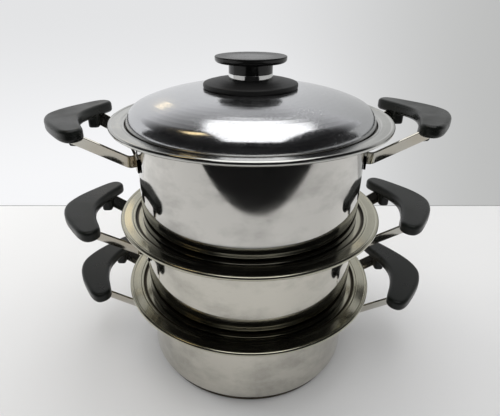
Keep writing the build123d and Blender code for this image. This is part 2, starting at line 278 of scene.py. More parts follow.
def turned_mesh(name, outline, steps, arc=radians(4)):
    """Spin a closed outline of corners and bends about the stack's axis."""
    bm = bmesh.new()
    corners = [bm.verts.new((x, 0, z)) for (x, z), bend in outline]
    bm.faces.new(corners)
    for vert, (corner, bend) in zip(corners, outline):
        if bend > 0:
            before, after = [edge.other_vert(vert).co - vert.co for edge in vert.link_edges]
            opening = before.angle(after)
            bmesh.ops.bevel(bm, geom=[vert], offset=bend / tan(opening / 2), offset_type="OFFSET",
                            segments=max(3, round((pi - opening) / arc)), profile=0.5,
                            affect="VERTICES", material=-1, clamp_overlap=False)
    bmesh.ops.remove_doubles(bm, verts=list(bm.verts), dist=MERGE)
    for edge in [edge for edge in bm.edges if edge.calc_length() > 5 * HOLD]:
        start, reach = edge.verts[0], edge.calc_length()
        edge, vert = bmesh.utils.edge_split(edge, start, HOLD / reach)
        far = [e for e in vert.link_edges if e.other_vert(vert) != start][0]
        bmesh.utils.edge_split(far, vert, 1 - HOLD / far.calc_length())
    bmesh.ops.delete(bm, geom=list(bm.faces), context="FACES_ONLY")
    on_axis = [edge for edge in bm.edges if all(abs(vert.co.x) < 1e-7 for vert in edge.verts)]
    bmesh.ops.delete(bm, geom=on_axis, context="EDGES")
    bmesh.ops.spin(bm, geom=list(bm.verts) + list(bm.edges), cent=(0, 0, 0), axis=UP,
                   dvec=(0, 0, 0), angle=2 * pi, steps=steps, use_merge=True, use_duplicate=False)
    bmesh.ops.remove_doubles(bm, verts=list(bm.verts), dist=MERGE)
    return finished_mesh(bm, name, crease=radians(35))


def finished_mesh(bm, name, crease):
    """Turn the faces outwards, smooth them up to the crease angle and make a mesh."""
    bmesh.ops.recalc_face_normals(bm, faces=list(bm.faces))
    if bm.calc_volume(signed=True) < 0:
        bmesh.ops.reverse_faces(bm, faces=list(bm.faces))
    for face in bm.faces:
        face.smooth = True
    for edge in bm.edges:
        edge.smooth = edge.is_manifold and edge.calc_face_angle(0) < crease
    mesh = bpy.data.meshes.new(name)
    bm.to_mesh(mesh)
    bm.free()
    return mesh


def add_object(name, data):
    """A new object in the scene."""
    obj = bpy.data.objects.new(name, data)
    bpy.context.scene.collection.objects.link(obj)
    return obj


def piece(name, mesh, body, material, slot, *nodes):
    """A shown piece that rides on a body and stands for the given CAD nodes."""
    obj = add_object(name, mesh)
    mesh.materials.clear()
    mesh.materials.append(material)
    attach(obj, body)
    if nodes:
        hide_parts(*nodes)
    return obj


def finish_node(node, material):
    """Give a carried-over CAD node its material."""
    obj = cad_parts[node]
    if obj.material_slots:
        for place in obj.material_slots:
            place.material = material
    else:
        obj.data.materials.append(material)


def pot_turn(pot, pots):
    """Turn of a pot about the stack's axis."""
    return {"bottom_pot": 0.0, "middle_pot": pots.middle_turn, "top_pot": pots.top_turn}[pot]


def handle_place(pot, side_turn, pots):
    """Matrix that puts a handle, drawn along +X from the top of the rim, on its pot."""
    turn = Matrix.Rotation(pot_turn(pot, pots) + side_turn, 4, "Z")
    return Matrix.Translation(UP * rim_level(pot)) @ turn


# ---------------------------------------------------------------- finishes


class Nodes:
    """The nodes of a material or of the room, which are added one by one."""

    def __init__(self, owner):
        owner.use_nodes = True
        self.nodes, self.links = owner.node_tree.nodes, owner.node_tree.links
        self.nodes.clear()

    def join(self, value, socket):
        """Link an output, or set a plain value."""
        if isinstance(value, bpy.types.NodeSocket):
            self.links.new(value, socket)
        else:
            socket.default_value = value

    def add(self, kind, inputs, output=0, **settings):
        """One output of a new node with these settings and inputs."""
        node = self.nodes.new("ShaderNode" + kind)
        for name, value in settings.items():
            setattr(node, name, value)
        for socket, value in inputs.items():
            self.join(value, node.inputs[socket])
        return node.outputs[output]

    def maths(self, operation, first, second):
        """Two values put together by a maths node."""
        return self.add("Math", {0: first, 1: second}, operation=operation)

    def plus(self, first, second):
        """The sum of two values."""
        return self.maths("ADD", first, second)

    def times(self, first, second):
        """The product of two values."""
        return self.maths("MULTIPLY", first, second)

    def part(self, vector, axis):
        """One coordinate of a vector."""
        return self.add("SeparateXYZ", {0: vector}, axis)

    def spread(self, value, low, high, start=0.0, end=1.0, form="LINEAR"):
        """Map a value from one range to another and hold it there."""
        inputs = {"Value": value, "From Min": low, "From Max": high, "To Min": start, "To Max": end}
        return self.add("MapRange", inputs, interpolation_type=form)

    def blend(self, amount, first, second):
        """A colour between two."""
        node = self.nodes.new("ShaderNodeMix")
        node.data_type = "RGBA"
        self.join(amount, node.inputs["Factor"])
        for socket, tone in zip(("A", "B"), (first, second)):
            target = [i for i in node.inputs if i.name == socket and i.type == "RGBA"][0]
            self.join(tone if isinstance(tone, bpy.types.NodeSocket) else (*tone[:3], 1.0), target)
        return [out for out in node.outputs if out.type == "RGBA"][0]


class Finish(Nodes):
    """A node material on the coordinates of its object."""

    def __init__(self, name):
        self.material = bpy.data.materials.get(name) or bpy.data.materials.new(name)
        super().__init__(self.material)
        self.shader = self.nodes.new("ShaderNodeBsdfPrincipled")
        output = self.nodes.new("ShaderNodeOutputMaterial")
        self.join(self.shader.outputs["BSDF"], output.inputs["Surface"])
        self.place = self.add("TexCoord", {}, "Object")

    def stretched(self, scale):
        """Object coordinates, stretched along each axis."""
        return self.add("Mapping", {"Vector": self.place, "Scale": scale})

    def radius(self):
        """Distance from the stack's axis."""
        flat = self.add("VectorMath", {0: self.place, 1: (1, 1, 0)}, operation="MULTIPLY")
        return self.add("VectorMath", {0: flat}, "Value", operation="LENGTH")

    def height(self):
        """Height above the table."""
        return self.part(self.place, "Z")

    def rings(self):
        """Coordinates of radius and height alone, for marks that run round the axis."""
        return self.add("CombineXYZ", {0: self.radius(), 2: self.height()})

    def noise(self, scale, detail, rough=0.5, vector=None):
        """Even noise from 0 to 1."""
        inputs = {"Scale": scale, "Detail": detail, "Roughness": rough}
        return self.add("TexNoise", {"Vector": self.place if vector is None else vector, **inputs})

    def bump(self, height, strength, distance, normal=None):
        """Raise the surface by a height."""
        below = {} if normal is None else {"Normal": normal}
        return self.add("Bump", {"Height": height, "Strength": strength, "Distance": distance, **below})

    def set(self, **values):
        """The material, once these sockets of its shader are set; "_" stands for a space."""
        for name, value in values.items():
            socket = self.shader.inputs[name.replace("_", " ")]
            if socket.type == "RGBA" and not isinstance(value, bpy.types.NodeSocket):
                value = (*value[:3], 1.0)
            self.join(value, socket)
        return self.material


def shade(colour_value, factor):
    """A colour made lighter or darker."""
    return tuple(min(1.0, channel * factor) for channel in colour_value[:3])


def pot_steel(name, looks, pots, foot, wall_tone, rim_tone, painted_foot_reflection):
    """Polished steel wall with smears and water marks, a tanned flange, painted shade in the corner of
    the recess and a band of painted dark reflection round the foot.
    """
    steel = Finish(name)
    radius, height = steel.radius(), steel.height()
    rim_start = pots.wall_radius + 0.0003
    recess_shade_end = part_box("lid_shell")[1].x + pots.lid_room + 0.0002
    recess_shade_start = recess_shade_end - looks.recess_shade_width
    foot_reflection_top = foot + pots.base_height + looks.foot_reflection_height
    on_rim = steel.spread(radius, rim_start, rim_start + FADE)
    # painted shade: the corner of the recess is darkened, and made a little rougher
    shaded_corner = steel.times(steel.spread(radius, recess_shade_start, recess_shade_start + 0.001),
                            steel.spread(radius, recess_shade_end, recess_shade_end + FADE, 1.0, 0.0))
    # painted dark reflection: a dark band round the foot of a pot that stands in another
    foot_reflection_mask = steel.spread(height, foot_reflection_top - FADE, foot_reflection_top + FADE, painted_foot_reflection, 0.0)
    marks = steel.noise(scale=24.0, detail=6.0, rough=0.62, vector=steel.stretched((1, 1, 1.7)))
    runs = steel.noise(scale=70.0, detail=4.0, rough=0.6, vector=steel.stretched((1, 1, 0.12)))
    stained = steel.times(steel.spread(marks, 0.44, 0.64), steel.spread(runs, 0.3, 0.7, 0.5, 1.0))
    wall = steel.blend(stained, shade(wall_tone, 1.06), shade(wall_tone, 0.74))
    # the painted dark reflection round the foot takes a darkened flange tone
    wall = steel.blend(foot_reflection_mask, wall, shade(rim_tone, 0.42))
    rings = steel.noise(scale=170.0, detail=2.0, vector=steel.rings())
    worn = steel.plus(steel.times(rings, 0.4), steel.times(marks, 0.6))
    flange = steel.blend(steel.spread(worn, 0.4, 0.6), shade(rim_tone, 0.9), shade(rim_tone, 1.06))
    # painted shade of the recess's corner, laid over the wall and the flange
    tone = steel.blend(shaded_corner, steel.blend(on_rim, wall, flange), looks.recess_shade)
    polish, turning = looks.steel_roughness, looks.flange_roughness
    on_wall = steel.spread(marks, 0.35, 0.75, polish * 0.6, polish * 1.9)
    on_flange = steel.spread(worn, 0.35, 0.65, turning * 0.7, turning * 1.3)
    rim_part = steel.times(on_rim, steel.maths("SUBTRACT", on_flange, on_wall))
    roughness = steel.plus(steel.plus(on_wall, rim_part), steel.times(shaded_corner, 0.25))
    waves = steel.noise(scale=30.0, detail=1.0, vector=steel.stretched((1, 1, 0.3)))
    return steel.set(Base_Color=tone, Metallic=1.0, Roughness=roughness,
                     Normal=steel.bump(waves, strength=0.14, distance=0.0006))


def lid_steel(looks):
    """Polished steel of the lid, spun in fine rings and dulled by fine scratches."""
    steel = Finish("lid steel")
    lines = steel.noise(scale=1500.0, detail=2.0, vector=steel.rings())
    smears = steel.noise(scale=20.0, detail=5.0, rough=0.6)
    specks = steel.noise(scale=650.0, detail=4.0, rough=0.7)
    polish = looks.steel_roughness
    roughness = steel.plus(steel.spread(smears, 0.3, 0.75, polish, polish * 2.4),
                           steel.spread(specks, 0.42, 0.62, 0.0, 0.13))
    tone = steel.blend(steel.spread(steel.noise(scale=12.0, detail=3.0), 0.3, 0.7),
                       shade(looks.lid, 0.95), shade(looks.lid, 1.03))
    speckled = steel.bump(specks, strength=0.22, distance=0.00006)
    return steel.set(Base_Color=tone, Metallic=1.0, Roughness=roughness,
                     Normal=steel.bump(lines, strength=0.15, distance=0.00003, normal=speckled))


def base_steel(looks):
    """Steel cap of the base, dulled and scratched by the hob, and dark with painted contact shade and
    dark reflection, along with some browning from the hob.
    """
    steel = Finish("base steel")
    scratches = steel.noise(scale=900.0, detail=4.0, vector=steel.rings())
    # the dark base tone holds painted contact shade and dark reflection
    tone = steel.blend(steel.spread(steel.noise(scale=60.0, detail=5.0), 0.35, 0.65),
                       shade(looks.base, 0.7), shade(looks.base, 1.5))
    return steel.set(Base_Color=tone, Metallic=1.0,
                     Roughness=steel.spread(scratches, 0.3, 0.7, 0.1, 0.24),
                     Normal=steel.bump(scratches, strength=0.2, distance=0.00005))


def strap_steel(looks):
    """Rolled strip, a little browned by the hob's heat."""
    steel = Finish("strap steel")
    grain = steel.noise(scale=700.0, detail=3.0, vector=steel.stretched((1, 1, 0.25)))
    tone = steel.blend(steel.spread(steel.noise(scale=16.0, detail=2.0), 0.45, 0.75),
                       looks.strap, looks.heat)
    return steel.set(Base_Color=tone, Metallic=1.0, Roughness=steel.spread(grain, 0.3, 0.7, 0.09, 0.18),
                     Normal=steel.bump(grain, strength=0.15, distance=0.00004))


def plain_steel(name, tone, low, high):
    """Small turned or pressed steel piece with fine marks."""
    steel = Finish(name)
    marks = steel.noise(scale=900.0, detail=3.0)
    patches = steel.noise(scale=120.0, detail=2.0)
    return steel.set(Base_Color=steel.blend(patches, shade(tone, 0.9), shade(tone, 1.05)),
                     Metallic=1.0, Roughness=steel.spread(marks, 0.3, 0.7, low, high),
                     Normal=steel.bump(marks, strength=0.1, distance=0.00004))


def grip_plastic(looks):
    """Moulded thermoset of the grips: a fine grain, worn smooth in patches."""
    plastic = Finish("grip plastic")
    grain = plastic.noise(scale=1800.0, detail=2.0)
    worn = plastic.noise(scale=38.0, detail=4.0)
    tone = plastic.blend(plastic.spread(worn, 0.35, 0.7),
                         shade(looks.plastic, 0.8), shade(looks.plastic, 1.5))
    roughness = plastic.plus(plastic.spread(worn, 0.3, 0.7, 0.24, 0.40),
                             plastic.spread(grain, 0.3, 0.7, -0.02, 0.03))
    return plastic.set(Base_Color=tone, Roughness=roughness, IOR=1.5, Specular_IOR_Level=0.26,
                       Normal=plastic.bump(grain, strength=0.12, distance=0.00005))


def knob_gloss(looks):
    """Glossy thermoset of the knob, worn dull on its top."""
    plastic = Finish("knob plastic")
    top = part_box("knob_grip")[1].z
    worn = plastic.spread(plastic.height(), top - 0.0016, top - 0.0004)
    marks = plastic.noise(scale=60.0, detail=5.0)
    ripples = plastic.noise(scale=1200.0, detail=2.0)
    roughness = plastic.plus(plastic.spread(marks, 0.3, 0.7, 0.05, 0.09), plastic.times(worn, 0.22))
    return plastic.set(Base_Color=plastic.blend(marks, shade(looks.knob, 0.8), shade(looks.knob, 1.4)),
                       Roughness=roughness, IOR=1.5,
                       Specular_IOR_Level=plastic.spread(worn, 0.0, 1.0, 0.5, 0.16),
                       Normal=plastic.bump(ripples, strength=0.04, distance=0.00004))


def knob_base_matt(looks):
    """Matt plate under the knob, with a fine grain."""
    plastic = Finish("knob base plastic")
    grain = plastic.noise(scale=2200.0, detail=2.0)
    patches = plastic.noise(scale=50.0, detail=4.0)
    tone = plastic.blend(patches, shade(looks.knob_base, 0.8), shade(looks.knob_base, 1.3))
    return plastic.set(Base_Color=tone, Roughness=plastic.spread(grain, 0.3, 0.7, 0.40, 0.52),
                       IOR=1.45, Specular_IOR_Level=0.3,
                       Normal=plastic.bump(grain, strength=0.2, distance=0.00006))


# ---------------------------------------------------------------- pieces


class CASSEROLES_OT_pot_shells(bpy.types.Operator):
    """Spin the three steel pots with their recessed, rolled rims"""

    bl_idname = "casseroles.pot_shells"
    bl_label = "Pot Shells"

    def execute(self, context):
        pots = context.scene.casserole_pots
        looks = context.scene.casserole_finishes
        for pot in POTS:
            rim, foot = rim_level(pot), base_level(pot)
            mesh = turned_mesh(f"{pot} shell", pot_outline(pots, rim, foot), pots.spin_steps)
            rim_tone = looks.top_flange if pot == "top_pot" else looks.flange
            wall_tone = looks.top_steel if pot == "top_pot" else looks.steel
            # only a pot that stands in another gets the band of painted dark reflection round its foot
            painted_foot_reflection = 0.0 if pot == "bottom_pot" else looks.painted_foot_reflection
            steel = pot_steel(f"{pot} steel", looks, pots, foot, wall_tone, rim_tone, painted_foot_reflection)
            piece(f"{pot}_steel_shell", mesh, pot, steel, "polished_steel", f"{pot}_shell")
        return {"FINISHED"}


def pot_outline(pots, rim, foot):
    """Outline of a pot's sheet with its rolled edge, as corners and bends."""
    half = pots.sheet / 2
    floor = foot + pots.base_height + half
    wall = pots.wall_radius - half
    recess_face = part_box("lid_shell")[1].x + pots.lid_room
    recess = recess_face + half
    ledge = rim - pots.recess_depth - half
    flange = rim - pots.flange_drop - half
    step = recess_face + pots.step_width
    bead = pots.rim_radius - pots.bead_radius
    low_ring = flange - pots.step_drop
    middle = [(0, floor), (wall, floor), (wall, ledge), (recess, ledge), (recess, low_ring),
              (step, low_ring), (step + pots.step_drop, flange), (bead, flange)]
    bends = [0, pots.foot_corner - half, pots.ledge_bend] + [pots.small_bend] * 4 + [0]
    corners = sheet_outline(middle, bends, pots.sheet)
    reach = pots.bead_radius
    drop = pots.flange_drop / reach
    # across: from the bead's middle to where the flange's upper face meets it, as a share of its radius
    # lean: from the bead's middle to the corner where the tangents at that point and at its top meet
    across = (1 - (1 - drop) ** 2) ** 0.5
    lean = across * reach / (2 - drop)
    under = rim - 2 * reach
    roll = [((bead - reach, flange - half), 0), ((bead - reach, under), reach),
            ((bead + reach, under), reach), ((bead + reach, rim), reach), ((bead - lean, rim), reach),
            ((bead - across * reach, rim - pots.flange_drop), 0)]
    return corners[:len(middle) - 1] + roll + corners[len(middle) + 1:]


class CASSEROLES_OT_base_caps(bpy.types.Operator):
    """Spin the steel caps of the three heavy bases and finish the cores in them"""

    bl_idname = "casseroles.base_caps"
    bl_label = "Base Caps"

    def execute(self, context):
        pots = context.scene.casserole_pots
        looks = context.scene.casserole_finishes
        steel = base_steel(looks)
        core = plain_steel("core aluminium", looks.core, 0.3, 0.45)
        for pot in POTS:
            low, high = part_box(f"{pot}_base_cap")
            inside = high.x - pots.cap_sheet
            outline = [((0, low.z), 0), ((high.x, low.z), pots.cap_edge), ((high.x, high.z), 0),
                       ((inside, high.z), 0), ((inside, low.z + pots.cap_sheet), pots.cap_edge / 2),
                       ((0, low.z + pots.cap_sheet), 0)]
            mesh = turned_mesh(f"{pot} base cap", outline, pots.spin_steps)
            piece(f"{pot}_steel_base", mesh, pot, steel, "base_steel", f"{pot}_base_cap")
            finish_node(f"{pot}_base_core", core)
        return {"FINISHED"}


class CASSEROLES_OT_handle_straps(bpy.types.Operator):
    """Bend the six steel handle straps"""

    bl_idname = "casseroles.handle_straps"
    bl_label = "Handle Straps"

    def execute(self, context):
        pots = context.scene.casserole_pots
        sizes = context.scene.casserole_handles
        steel = strap_steel(context.scene.casserole_finishes)
        shape = strap_mesh(pots, sizes)
        for pot in POTS:
            for side, side_turn in SIDES:
                mesh = shape.copy()
                mesh.transform(handle_place(pot, side_turn, pots))
                piece(f"{pot}_{side}_steel_strap", mesh, pot, steel, "strap_steel",
                      f"{pot}_{side}_strap")
        bpy.data.meshes.remove(shape)
        return {"FINISHED"}


def strap_lines(pots, sizes):
    """Directions and places along one half of a strap, with the top of the rim at z = 0."""
    wrapped = Matrix.Rotation(sizes.strap_wrap, 3, "Z")
    lines = SimpleNamespace(along=wrapped @ Vector((0, 1, 0)), out=wrapped @ Vector((1, 0, 0)))
    lines.fold = UP * cos(sizes.fold_slant) + lines.along * sin(sizes.fold_slant)
    folded = Matrix.Rotation(-sizes.fold_turn, 3, lines.fold)
    lines.arm = folded @ lines.along
    lines.shift = sizes.strap_width / 2 * tan(sizes.fold_slant)
    lines.climb = sizes.fold_radius * sizes.fold_turn * tan(sizes.fold_slant)
    radius = pots.wall_radius + sizes.weld_gap + sizes.strap_thick / 2
    centre = lines.out * (radius + sizes.fold_radius) + lines.along * lines.shift
    arm_start = centre - folded @ lines.out * sizes.fold_radius + lines.fold * lines.climb
    arm_length = (sizes.arm_end_reach - arm_start.x) / lines.arm.x
    drop = UP * (sizes.arm_end_drop + arm_start.z + arm_length * lines.arm.z)
    lines.middle = lines.out * radius - drop
    lines.centre = centre - drop
    lines.arm_end = arm_start - drop + lines.arm * arm_length
    return lines


def strap_mesh(pots, sizes):
    """Half a strap, drawn both ways from its slanted section, mirrored to the other side."""
    lines = strap_lines(pots, sizes)
    bm = bmesh.new()
    start = lines.middle + lines.along * lines.shift
    draw_fold_and_arm(bm, sizes, lines, slanted_section(bm, sizes, lines, start))
    draw_round_wall(bm, lines, [face for face in bm.faces
                                if (face.calc_center_median() - start).length < 10 * MERGE])
    add_ear(bm, sizes, lines)
    bmesh.ops.mirror(bm, geom=bm.verts[:] + bm.edges[:] + bm.faces[:], matrix=Matrix.Identity(4),
                     merge_dist=MERGE, axis="Y")
    bmesh.ops.remove_doubles(bm, verts=bm.verts[:], dist=MERGE)
    return finished_mesh(bm, "strap", crease=radians(40))


def only(kind, found):
    """The items of one kind in what an operator hands back."""
    return [item for item in found if isinstance(item, kind)]


def slanted_section(bm, sizes, lines, start):
    """Rounded section of the strip along the fold's slanted line."""
    grid = bmesh.ops.create_grid(bm, x_segments=1, y_segments=1, size=0.5)
    bmesh.ops.scale(bm, vec=(sizes.strap_width / cos(sizes.fold_slant), sizes.strap_thick, 1),
                    verts=grid["verts"])
    bmesh.ops.bevel(bm, geom=grid["verts"], offset=sizes.strap_edge, offset_type="OFFSET", segments=4,
                    profile=0.5, affect="VERTICES", material=-1)
    place = Matrix((lines.fold, lines.out, lines.fold.cross(lines.out))).transposed().to_4x4()
    place.translation = start
    bmesh.ops.transform(bm, matrix=place, verts=bm.verts[:])
    return bm.faces[:]


def draw_fold_and_arm(bm, sizes, lines, section):
    """Turn the section round the fold and draw it out along the arm."""
    steps = 14
    fold = bmesh.ops.spin(bm, geom=section, cent=lines.centre, axis=lines.fold,
                          dvec=lines.fold * (lines.climb / steps), angle=-sizes.fold_turn, steps=steps,
                          use_merge=False, use_duplicate=False)
    last = only(bmesh.types.BMFace, fold["geom_last"])
    drawn = bmesh.ops.extrude_face_region(bm, geom=last)
    for vert in only(bmesh.types.BMVert, drawn["geom"]):
        vert.co += lines.arm * (lines.arm_end - vert.co).dot(lines.arm)
    bmesh.ops.delete(bm, geom=last, context="FACES")


def draw_round_wall(bm, lines, section):
    """Draw the section square to the strip, then round the wall to the handle's middle."""
    drawn = bmesh.ops.extrude_face_region(bm, geom=section)
    for vert in only(bmesh.types.BMVert, drawn["geom"]):
        vert.co -= lines.along * ((vert.co - lines.middle).dot(lines.along) + HOLD)
    faces = only(bmesh.types.BMFace, drawn["geom"])
    turn_left = (lines.middle - lines.along * HOLD).to_2d().angle_signed(Vector((1, 0)))
    wrap = bmesh.ops.spin(bm, geom=faces, cent=(0, 0, 0), axis=UP, dvec=(0, 0, 0), angle=turn_left,
                          steps=10, use_merge=False, use_duplicate=False)
    bmesh.ops.delete(bm, geom=only(bmesh.types.BMFace, wrap["geom_last"]), context="FACES")


def add_ear(bm, sizes, lines):
    """Pointed ear that rises from the strap's upper edge next to the fold."""
    half = sizes.strap_thick / 2
    lean = Matrix.Rotation(sizes.ear_lean, 3, lines.along) @ lines.out
    rise = lean.cross(lines.along)
    root = lines.middle + UP * (sizes.strap_width / 2 - half)
    near = 2 * lines.shift
    points = [(near, 0), (near - sizes.ear_tip * sizes.ear_base, half + sizes.ear_height),
              (near - sizes.ear_base, 0)]
    verts = [bm.verts.new(root + lines.along * x + rise * y - lean * half) for x, y in points]
    face = bm.faces.new(verts)
    grown = bmesh.ops.extrude_face_region(bm, geom=[face], use_keep_orig=True)
    new = only(bmesh.types.BMVert, grown["geom"])
    bmesh.ops.translate(bm, vec=lean * sizes.strap_thick, verts=new)
    edges = dict.fromkeys(edge for vert in verts + new for edge in vert.link_edges)
    bmesh.ops.bevel(bm, geom=list(edges), offset=sizes.strap_edge * 0.8, offset_type="OFFSET",
                    segments=2, profile=0.5, affect="EDGES", material=-1)


class CASSEROLES_OT_handle_grips(bpy.types.Operator):
    """Mould the six black grips with softened edges and finish their screws"""

    bl_idname = "casseroles.handle_grips"
    bl_label = "Handle Grips"

    def execute(self, context):
        pots = context.scene.casserole_pots
        sizes = context.scene.casserole_handles
        looks = context.scene.casserole_finishes
        plastic = grip_plastic(looks)
        shape = grip_mesh(sizes)
        back = Matrix.Translation(-UP * rim_level("bottom_pot"))
        screw = plain_steel("screw steel", looks.screw, 0.2, 0.35)
        for pot in POTS:
            for side, side_turn in SIDES:
                mesh = shape.copy()
                mesh.transform(handle_place(pot, side_turn, pots) @ back)
                piece(f"{pot}_{side}_black_grip", mesh, pot, plastic, "black_plastic",
                      f"{pot}_{side}_grip")
            finish_node(f"{pot}_grip_screws", screw)
        bpy.data.meshes.remove(shape)
        return {"FINISHED"}


def grip_mesh(sizes):
    """Copy of the bottom pot's right grip, remeshed on an even grid and softened."""
    bm = bmesh.new()
    bm.from_mesh(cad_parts["bottom_pot_right_grip"].data)
    bmesh.ops.remove_doubles(bm, verts=list(bm.verts), dist=MERGE)
    mesh = finished_mesh(bm, "grip", crease=pi)
    blank = add_object("grip blank", mesh)
    grid = blank.modifiers.new("grid", "REMESH")
    grid.mode = "VOXEL"
    grid.voxel_size = sizes.grip_grid
    grid.use_smooth_shade = True
    soft = blank.modifiers.new("soft", "SMOOTH")
    soft.factor = 0.5
    soft.iterations = 6
    bpy.context.view_layer.update()
    finished = blank.evaluated_get(bpy.context.evaluated_depsgraph_get())
    shape = bpy.data.meshes.new_from_object(finished)
    bpy.data.objects.remove(blank)
    bpy.data.meshes.remove(mesh)
    return shape


class CASSEROLES_OT_lid(bpy.types.Operator):
    """Spin the domed steel lid"""

    bl_idname = "casseroles.lid"
    bl_label = "Lid"

    def execute(self, context):
        pots = context.scene.casserole_pots
        lid = context.scene.casserole_lid
        looks = context.scene.casserole_finishes
        mesh = turned_mesh("lid", lid_outline(lid), pots.spin_steps, arc=radians(2))
        piece("lid_steel_dome", mesh, "lid", lid_steel(looks), "polished_steel", "lid_shell")
        return {"FINISHED"}


def lid_outline(lid):
    """Outline of the lid's sheet: skirt, shoulder, crown and flat middle."""
    low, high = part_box("lid_shell")
    half = lid.sheet / 2
    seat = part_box("knob_base")[1].x + lid.seat_margin
    rise = high.z - low.z - lid.skirt
    across = high.x - lid.shoulder - seat
    crown = (across ** 2 + rise ** 2 - lid.shoulder ** 2) / (2 * (rise - lid.shoulder))
    turn = Vector((across, 0)).angle(Vector((across, crown - rise)))
    # corners of the outer face, where the tangents of the shoulder and the crown meet
    edge = low.z + lid.skirt + lid.shoulder * tan(turn / 2)
    brow = seat + crown * tan((pi / 2 - turn) / 2)
    middle = [(high.x - half, low.z), (high.x - half, edge - half * tan(turn / 2)),
              (brow - half * tan((pi / 2 - turn) / 2), high.z - half), (lid.bore, high.z - half)]
    bends = [0, lid.shoulder - half, crown - half, 0]
    return sheet_outline(middle, bends, lid.sheet)


class CASSEROLES_OT_knob(bpy.types.Operator):
    """Spin the knob's base plate, steel band and grip, and finish its screw and washer"""

    bl_idname = "casseroles.knob"
    bl_label = "Knob"

    def execute(self, context):
        pots = context.scene.casserole_pots
        knob = context.scene.casserole_knob
        looks = context.scene.casserole_finishes
        steps = pots.spin_steps // 2
        bore = context.scene.casserole_lid.bore
        base = turned_mesh("knob base", knob_base_outline(knob, bore), steps)
        piece("knob_black_base", base, "lid", knob_base_matt(looks), "knob_base_plastic", "knob_base")
        band = turned_mesh("knob band", knob_band_outline(knob), steps)
        piece("knob_steel_band", band, "lid", plain_steel("band steel", looks.band, 0.03, 0.06),
              "band_steel", "knob_band")
        grip = turned_mesh("knob grip", knob_grip_outline(knob, bore), steps)
        piece("knob_black_grip", grip, "lid", knob_gloss(looks), "knob_plastic", "knob_grip")
        under = plain_steel("lid fastener steel", looks.fastener, 0.18, 0.3)
        finish_node("knob_washer", under)
        finish_node("knob_screw", under)
        return {"FINISHED"}


def knob_base_outline(knob, bore):
    """Outline of the base plate, which rises in a hollow curve to the band."""
    low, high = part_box("knob_base")
    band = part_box("knob_band")[1].x
    edge = low.z + knob.base_edge
    # the hollow curve leaves the rim's rounding and comes in level near the band
    run, rise = high.x - band, high.z - edge
    reach = (run ** 2 + rise ** 2) / (2 * run)
    hollow = (reach - knob.base_round) * run / rise
    return [((bore, low.z), 0), ((high.x, low.z), knob.base_round), ((high.x, edge), knob.base_round),
            ((band + reach, high.z), hollow), ((bore, high.z), 0)]


def knob_band_outline(knob):
    """Outline of the steel band."""
    low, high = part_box("knob_band")
    inside = high.x - knob.band_wall
    return [((inside, low.z), 0), ((high.x, low.z), knob.band_edge),
            ((high.x, high.z), knob.band_edge), ((inside, high.z), 0)]


def knob_grip_outline(knob, bore):
    """Outline of the knob's neck and broad disc, with the screw's hole."""
    low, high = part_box("knob_grip")
    band_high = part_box("knob_band")[1]
    neck = band_high.x - knob.neck_inset
    spigot = band_high.x - knob.band_wall - knob.band_gap
    disc = high.z - knob.disc_height
    dished = high.z - knob.disc_dish
    return [((bore, low.z), 0), ((spigot, low.z), 0), ((spigot, band_high.z), 0),
            ((neck, band_high.z), knob.band_edge), ((neck, disc), knob.neck_round),
            ((high.x, disc + knob.disc_slope), knob.disc_round), ((high.x, high.z), knob.disc_edge),
            ((high.x / 2, dished), knob.dish_radius), ((0, dished), 0),
            ((0, low.z + knob.screw_depth), 0), ((bore, low.z + knob.screw_depth), 0)]


# ---------------------------------------------------------------- stage


class CASSEROLES_OT_stage(bpy.types.Operator):
    """Set the table, the backdrop, the lamps and the camera"""

    bl_idname = "casseroles.stage"
    bl_label = "Stage"

    def execute(self, context):
        stage = context.scene.casserole_stage
        set_table(stage)
        set_cards(stage)
        set_lamps(stage)
        set_room(context.scene, stage)
        context.scene.view_settings.view_transform = "Standard"
        context.scene.camera = set_camera(stage)
        return {"FINISHED"}


def set_table(stage):
    """Pale table, square to the camera, with a thin dark line along its back edge."""
    width, front = 5.0, 2.2
    depth, line = stage.table_back + front, stage.table_line
    square = Matrix.Rotation(stage.heading, 3, "Z")
    for name, deep, middle, tone in (
            ("table", depth, stage.table_back - depth / 2, stage.table),
            ("table edge", line, stage.table_back + line / 2, shade(stage.table, 0.3))):
        add_sheet(name, width, deep, square @ Vector((0, middle, 0)), square, tone)


def set_cards(stage):
    """Dark studio cards round the table, which only reflections show."""
    level, upright = Matrix.Rotation(radians(8), 3, "Z"), Matrix.Rotation(pi / 2, 3, "X")
    aside = Matrix.Rotation(pi / 2, 3, "Z") @ upright
    for name, width, depth, place, turn in (
            ("low card", 2.2, 1.6, level @ Vector((0, -stage.table_front - 0.8, 0.001)), level),
            ("front card", 4.2, 2.4, (0, -2.1, 1.2), upright),
            ("left card", 2.6, 1.4, (-1.95, -0.8, 1.12), aside),
            ("right card", 2.6, 1.4, (1.95, -0.8, 1.12), aside),
            ("ceiling card", 6.0, 4.5, (0, 0.15, stage.ceiling_height + 0.05), Matrix.Identity(3))):
        card = add_sheet(name, width, depth, place, turn, stage.dark_card)
        card.visible_camera = card.visible_diffuse = card.visible_shadow = False
    # the last one, on the ceiling, glows with painted light towards the back, like the room behind it
    fade_back(card, start=0.7, end=2.3, near=stage.dark_card, far=shade(stage.high_wall, 0.8))


